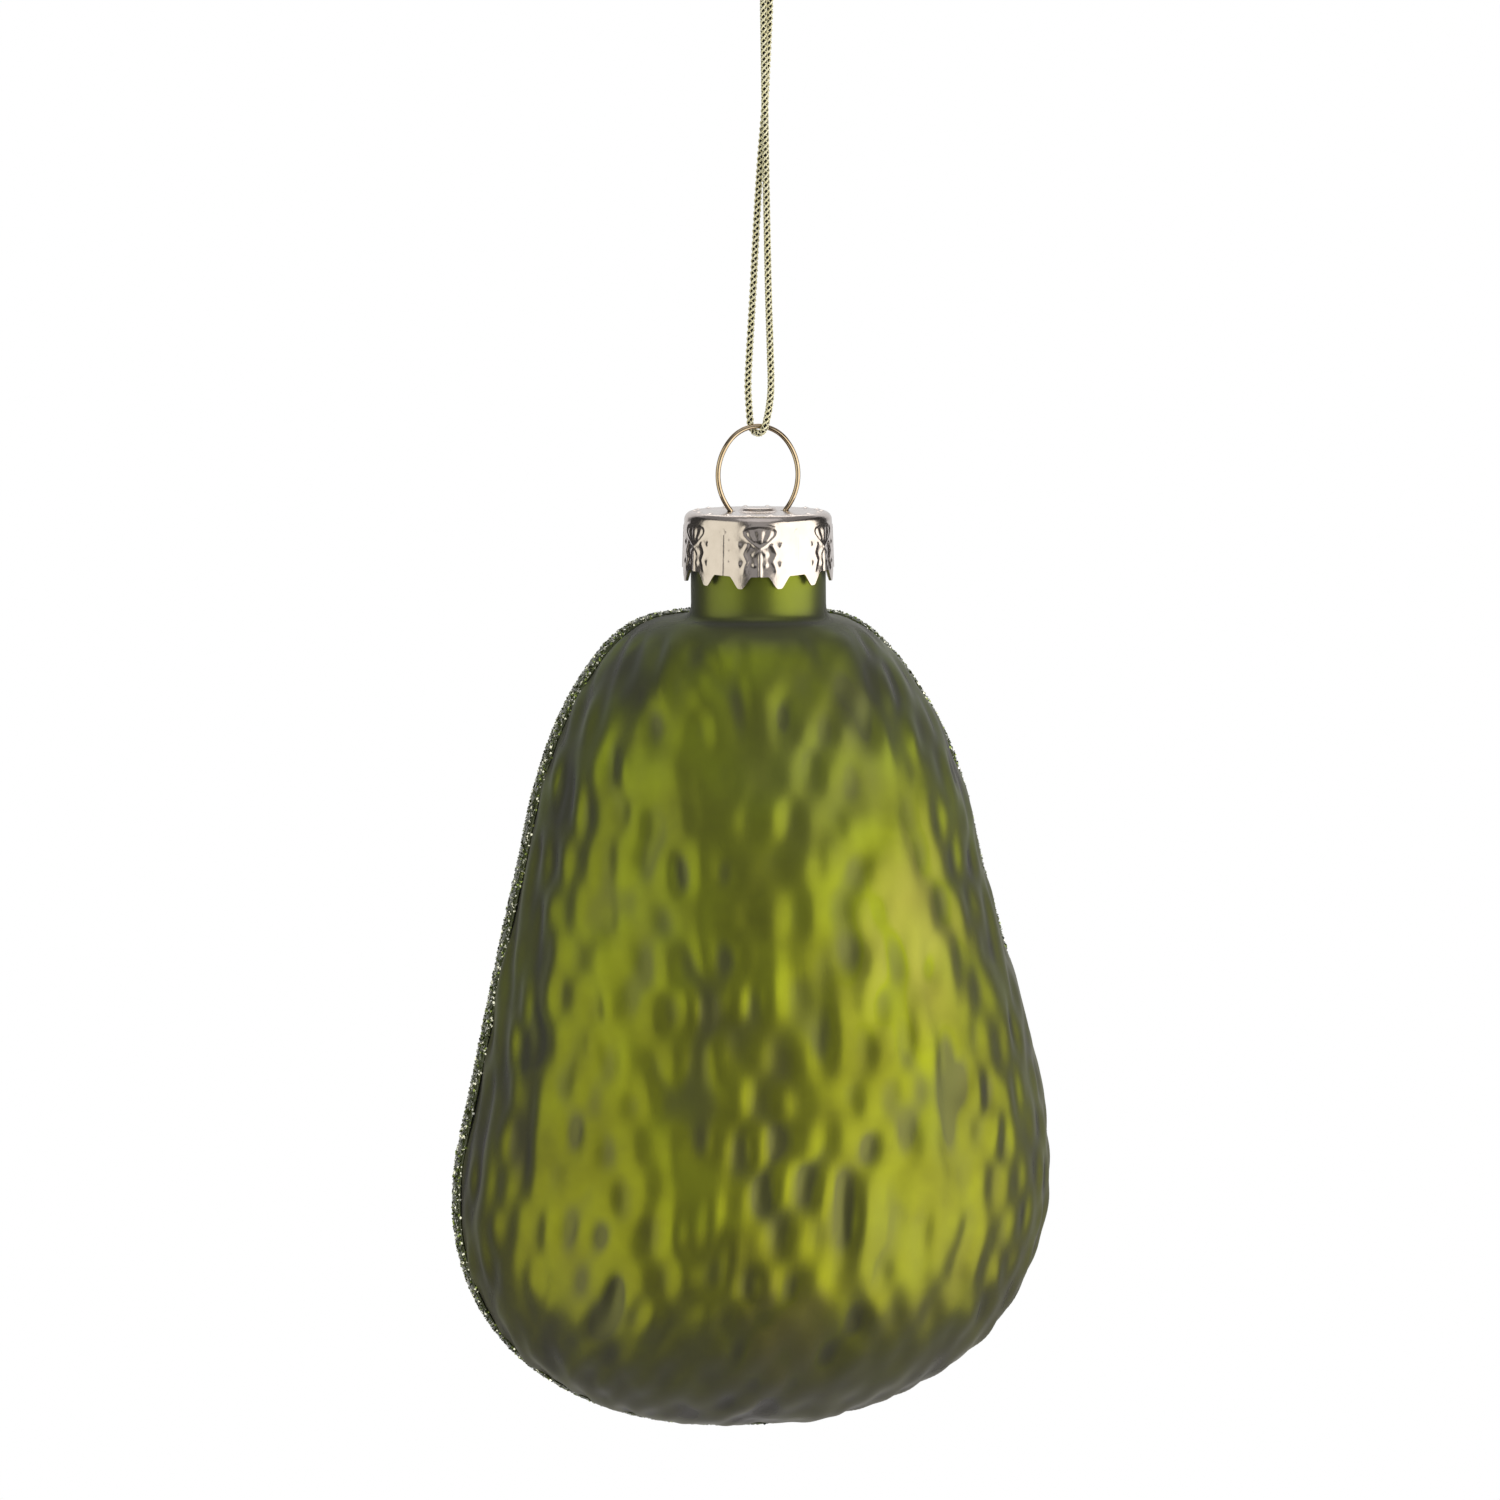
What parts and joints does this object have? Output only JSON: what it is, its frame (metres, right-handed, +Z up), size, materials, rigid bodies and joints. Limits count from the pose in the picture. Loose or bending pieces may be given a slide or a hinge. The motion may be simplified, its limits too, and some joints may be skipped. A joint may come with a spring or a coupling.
{
  "type": "avocado ornament",
  "caption": "Hollow glass ornament shaped as a halved avocado with a pit on its cut face, a glitter rim, a toothed metal cap, a sprung wire hanger and a knotted thread loop.",
  "frame": {"origin": "the hanging point, at the top of the thread loop under its knot", "axes": "+Z up along the neck axis, -Y out of the cut face, +Y out of the skin side"},
  "size_m": [0.0732, 0.047, 0.1876],
  "materials": {
    "green_glass": "satin green lacquer over glass that is silvered inside, painted flesh and pit on the cut face",
    "glitter": "pale green glitter grains in glue",
    "cap_metal": "pale gold, stamped thin sheet",
    "gold_wire": "bright gold spring wire",
    "gold_thread": "metallic pale gold braid"
  },
  "bodies": {
    "thread": {"thread": "gold_thread", "thread_knot": "gold_thread"},
    "hanger": {"hanger_wire": "gold_wire"},
    "cap": {"cap": "cap_metal"},
    "glass": {"glass_body": "green_glass", "glitter_rim": "glitter"}
  },
  "joints": [
    {"name": "thread_swing", "type": "hinge", "parent": "thread", "child": "hanger", "pos_m": [0.001, 0, -0.055], "axis": [1, 0, 0], "range_deg": [-80, 80]},
    {"name": "hanger_rock", "type": "hinge", "parent": "hanger", "child": "cap", "pos_m": [0.001, 0, -0.06532], "axis": [1, 0, 0], "range_deg": [-8, 8]},
    {"name": "cap_pull", "type": "slide", "parent": "cap", "child": "glass", "axis": [0, 0, -1], "range_m": [0, 0.02]}
  ]
}
